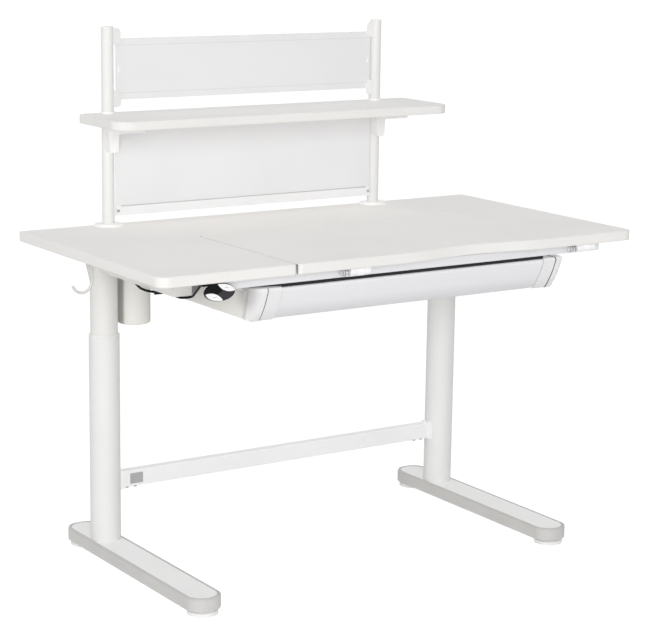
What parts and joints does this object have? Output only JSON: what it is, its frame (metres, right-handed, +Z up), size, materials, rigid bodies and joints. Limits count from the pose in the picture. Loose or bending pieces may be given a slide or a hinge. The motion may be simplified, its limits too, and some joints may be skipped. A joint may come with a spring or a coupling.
{
  "type": "electric standing desk",
  "caption": "Electric sit-stand desk on motor columns and long feet, with a tilting board set in an L-shaped top, a shallow drawer, a hand controller, a hook and a post-mounted rear shelf.",
  "frame": {"origin": "on the floor under the middle of the desk's bounding box at rest", "axes": "+X to the right along the desk's width, +Y to the back, +Z up; the front faces -Y"},
  "size_m": [1.2, 0.651, 1.1605],
  "materials": {
    "white_board": "matt white laminate over fibreboard with rolled edges",
    "white_paint": "fine-textured white powder coat",
    "panel_paint": "smooth white powder coat on folded sheet",
    "grey_trim": "warm light-grey moulded bumper",
    "white_plastic": "white moulded plastic",
    "button_white": "white moulded buttons",
    "black_plastic": "black moulded plastic",
    "guide_plastic": "natural acetal",
    "cable_rubber": "black cable sheath",
    "steel": "zinc-plated steel",
    "nut_brass": "turned brass",
    "cast_alloy": "die-cast alloy, painted white",
    "core_iron": "laminated core with windings"
  },
  "bodies": {
    "base": {"foot_trim_left": "grey_trim", "foot_trim_right": "grey_trim", "foot_plate_left": "white_paint", "foot_plate_right": "white_paint", "outer_tube_left": "white_paint", "outer_tube_right": "white_paint", "guide_sleeves": "guide_plastic", "nut_tubes": "steel", "spindle_nuts": "nut_brass", "stretcher": "white_paint", "stretcher_saddles": "white_plastic", "base_bolts": "steel"},
    "glide_front_left": {"glide_front_left": "white_plastic"},
    "glide_front_right": {"glide_front_right": "white_plastic"},
    "glide_rear_left": {"glide_rear_left": "white_plastic"},
    "glide_rear_right": {"glide_rear_right": "white_plastic"},
    "tilt": {"tilt_board": "white_board", "hinge_upper_leaves": "white_paint", "prop_clevises": "white_paint"},
    "prop": {"prop_frame": "white_paint"},
    "drawer": {"drawer_tray": "white_plastic", "drawer_front": "white_plastic", "drawer_caps": "white_plastic"},
    "button_up": {"button_up": "button_white"},
    "button_down": {"button_down": "button_white"},
    "spindle_left": {"spindle_left": "steel"},
    "spindle_right": {"spindle_right": "steel"},
    "rotor_left": {"rotor_left": "steel"},
    "rotor_right": {"rotor_right": "steel"},
    "lift": {"channel_left": "white_paint", "channel_right": "white_paint", "control_box": "black_plastic", "drawer_rails": "steel", "fixed_top": "white_board", "front_beam": "white_paint", "gear_case_left": "cast_alloy", "gear_case_right": "cast_alloy", "handset_lead": "cable_rubber", "handset_pod": "black_plastic", "hinge_lower_leaves": "white_paint", "hinge_pins": "steel", "hook": "white_paint", "hutch_brackets": "white_plastic", "inner_tube_left": "white_paint", "inner_tube_right": "white_paint", "lead_clips": "black_plastic", "lower_panel": "panel_paint", "lower_rail": "panel_paint", "lower_sliders": "guide_plastic", "mid_beam": "white_paint", "motor_housing_left": "white_paint", "motor_housing_right": "white_paint", "post_rings": "white_plastic", "posts": "white_paint", "power_inlet": "black_plastic", "prop_rails": "white_paint", "shelf": "white_board", "small_screws": "steel", "stators": "core_iron", "upper_panel": "panel_paint"}
  },
  "joints": [
    {"name": "lift", "type": "slide", "parent": "base", "child": "lift", "axis": [0, 0, 1], "range_m": [-0.12, 0.22]},
    {"name": "tilt", "type": "hinge", "parent": "lift", "child": "tilt", "pos_m": [0, -0.305, 0.692], "axis": [1, 0, 0], "range_deg": [0, 40]},
    {"name": "prop", "type": "hinge", "parent": "tilt", "child": "prop", "pos_m": [0, -0.145, 0.692], "axis": [1, 0, 0], "range_deg": [-80, 0]},
    {"name": "drawer", "type": "slide", "parent": "lift", "child": "drawer", "axis": [0, -1, 0], "range_m": [0, 0.24]},
    {"name": "button_up", "type": "slide", "parent": "lift", "child": "button_up", "axis": [0, 1, 0], "range_m": [0, 0.0015], "stiffness_N_per_m": 600},
    {"name": "button_down", "type": "slide", "parent": "lift", "child": "button_down", "axis": [0, 1, 0], "range_m": [0, 0.0015], "stiffness_N_per_m": 600},
    {"name": "glide_front_left", "type": "hinge", "parent": "base", "child": "glide_front_left", "pos_m": [-0.4565, -0.24, 0], "axis": [0, 0, 1], "continuous": true},
    {"name": "glide_rear_left", "type": "hinge", "parent": "base", "child": "glide_rear_left", "pos_m": [-0.4565, 0.292, 0], "axis": [0, 0, 1], "continuous": true},
    {"name": "glide_front_right", "type": "hinge", "parent": "base", "child": "glide_front_right", "pos_m": [0.4565, -0.24, 0], "axis": [0, 0, 1], "continuous": true},
    {"name": "glide_rear_right", "type": "hinge", "parent": "base", "child": "glide_rear_right", "pos_m": [0.4565, 0.292, 0], "axis": [0, 0, 1], "continuous": true},
    {"name": "spindle_left", "type": "hinge", "parent": "lift", "child": "spindle_left", "pos_m": [-0.4565, 0.19, 0.66], "axis": [0, 0, 1], "continuous": true},
    {"name": "rotor_left", "type": "hinge", "parent": "lift", "child": "rotor_left", "pos_m": [-0.383, 0.19, 0.66], "axis": [0, 0, 1], "continuous": true},
    {"name": "spindle_right", "type": "hinge", "parent": "lift", "child": "spindle_right", "pos_m": [0.4565, 0.19, 0.66], "axis": [0, 0, 1], "continuous": true},
    {"name": "rotor_right", "type": "hinge", "parent": "lift", "child": "rotor_right", "pos_m": [0.383, 0.19, 0.66], "axis": [0, 0, 1], "continuous": true}
  ],
  "couplings": [
    {"joint": "prop", "follows": "tilt", "ratio": -2},
    {"joint": "spindle_left", "follows": "lift", "rad_per_m": 314.16},
    {"joint": "rotor_left", "follows": "lift", "rad_per_m": -455.53},
    {"joint": "spindle_right", "follows": "lift", "rad_per_m": 314.16},
    {"joint": "rotor_right", "follows": "lift", "rad_per_m": -455.53}
  ]
}
